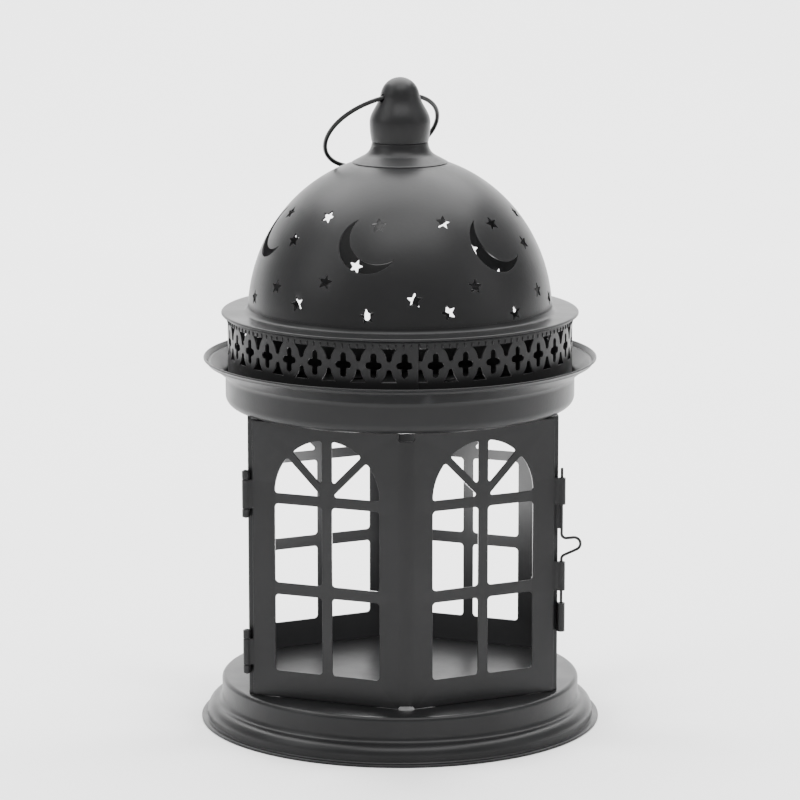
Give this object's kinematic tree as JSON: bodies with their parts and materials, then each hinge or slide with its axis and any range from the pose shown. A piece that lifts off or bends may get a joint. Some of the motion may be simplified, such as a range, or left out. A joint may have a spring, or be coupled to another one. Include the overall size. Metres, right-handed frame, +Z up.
{
  "type": "moroccan metal lantern",
  "caption": "Six-sided sheet-metal candle lantern with arched windows, a hinged V-shaped door with a wire bolt, a pierced dome lid on a gallery band, and a carrying ring.",
  "frame": {"origin": "centre of the plane that the base lip stands on", "axes": "+Z up; -Y out through the middle corner of the door; +X towards the latch"},
  "size_m": [0.14, 0.14, 0.2255],
  "materials": {
    "painted_sheet": "satin black paint on pressed steel",
    "painted_wire": "satin black paint on steel wire",
    "painted_rivets": "satin black paint",
    "plated_steel": "plain zinc plated"
  },
  "bodies": {
    "lantern": {"base_pan": "painted_sheet", "right_wall": "painted_sheet", "left_wall": "painted_sheet", "back_seam_rivets": "painted_rivets", "hinge_pin_upper": "painted_wire", "hinge_pin_lower": "painted_wire", "top_tray": "painted_sheet", "gallery_band": "painted_sheet", "gallery_rivets": "painted_rivets", "band_seam_rivets": "painted_rivets", "dome_shell": "painted_sheet", "finial_foot": "painted_sheet", "finial_bulb": "painted_sheet", "finial_screw": "plated_steel", "finial_washer": "plated_steel", "finial_nut": "plated_steel"},
    "door": {"door_leaf": "painted_sheet"},
    "bolt": {"latch_bolt": "painted_wire"},
    "ring": {"ring_handle": "painted_wire"}
  },
  "joints": [
    {"name": "door_hinge", "type": "hinge", "parent": "lantern", "child": "door", "pos_m": [-0.05396, -0.02999, 0.06], "axis": [0, 0, -1], "range_deg": [0, 110]},
    {"name": "bolt_slide", "type": "slide", "parent": "door", "child": "bolt", "axis": [0, 0, 1], "range_m": [-0.0012, 0.0085]},
    {"name": "ring_swing", "type": "hinge", "parent": "lantern", "child": "ring", "pos_m": [0, 0, 0.2185], "axis": [0.9063, 0.4226, 0], "range_deg": [0, 266]}
  ]
}
